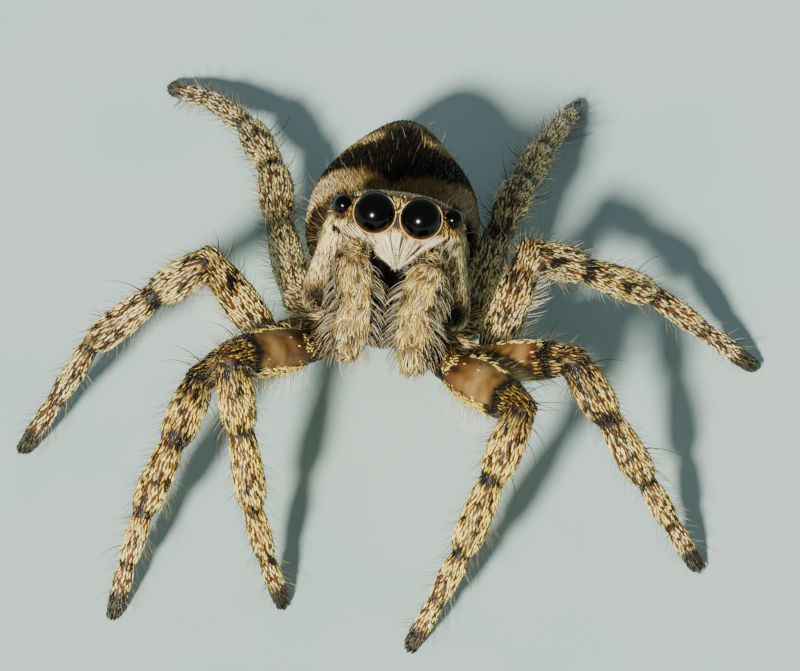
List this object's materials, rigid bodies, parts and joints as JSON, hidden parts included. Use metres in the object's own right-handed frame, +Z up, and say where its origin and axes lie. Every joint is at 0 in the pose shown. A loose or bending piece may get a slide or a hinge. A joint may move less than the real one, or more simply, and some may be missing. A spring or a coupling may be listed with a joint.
{
  "type": "jumping spider",
  "caption": "Still life-size model of an adult zebra jumping spider, standing on eight feet with its head raised and its face turned up to the viewer.",
  "frame": {"origin": "on the floor, under the middle of the whole spider's box", "axes": "+Z up, the spider faces -Y, and its left side is +X; the longest way, from the front feet to the back feet, is along Y"},
  "size_m": [0.009, 0.0102, 0.0037],
  "materials": {
    "coat_head": "dense flat scales and short hairs, grey-tan above, cream white on the face and cheeks",
    "coat_palp": "cream and tan scales with a fringe of long pale hairs",
    "coat_leg": "narrow golden scales over dark brown cuticle, with dark rings at the joints",
    "coat_abdomen": "black scales with pale oblique bands and sparse long hairs",
    "eye_lens": "polished black lens",
    "cuticle_black": "bare, smooth and half gloss",
    "cuticle_brown": "bare or thinly haired, half gloss"
  },
  "bodies": {
    "root": {"abdomen": "coat_abdomen", "carapace": "coat_head", "chelicera_left": "cuticle_black", "chelicera_right": "cuticle_black", "eye_back_left": "eye_lens", "eye_back_right": "eye_lens", "eye_front_middle_left": "eye_lens", "eye_front_middle_right": "eye_lens", "eye_front_side_left": "eye_lens", "eye_front_side_right": "eye_lens", "eye_tiny_left": "eye_lens", "eye_tiny_right": "eye_lens", "leg_left_1_coxa": "coat_leg", "leg_left_1_femur": "coat_leg", "leg_left_1_foot": "coat_leg", "leg_left_1_tibia": "coat_leg", "leg_left_2_coxa": "coat_leg", "leg_left_2_femur": "coat_leg", "leg_left_2_foot": "coat_leg", "leg_left_2_tibia": "coat_leg", "leg_left_3_coxa": "coat_leg", "leg_left_3_femur": "coat_leg", "leg_left_3_foot": "coat_leg", "leg_left_3_tibia": "coat_leg", "leg_left_4_coxa": "coat_leg", "leg_left_4_femur": "coat_leg", "leg_left_4_foot": "coat_leg", "leg_left_4_tibia": "coat_leg", "leg_right_1_coxa": "coat_leg", "leg_right_1_femur": "coat_leg", "leg_right_1_foot": "coat_leg", "leg_right_1_tibia": "coat_leg", "leg_right_2_coxa": "coat_leg", "leg_right_2_femur": "coat_leg", "leg_right_2_foot": "coat_leg", "leg_right_2_tibia": "coat_leg", "leg_right_3_coxa": "coat_leg", "leg_right_3_femur": "coat_leg", "leg_right_3_foot": "coat_leg", "leg_right_3_tibia": "coat_leg", "leg_right_4_coxa": "coat_leg", "leg_right_4_femur": "coat_leg", "leg_right_4_foot": "coat_leg", "leg_right_4_tibia": "coat_leg", "mouthparts": "cuticle_brown", "palp_left": "coat_palp", "palp_right": "coat_palp", "pedicel": "cuticle_brown", "spinnerets": "cuticle_brown", "sternum": "cuticle_brown"}
  },
  "joints": []
}
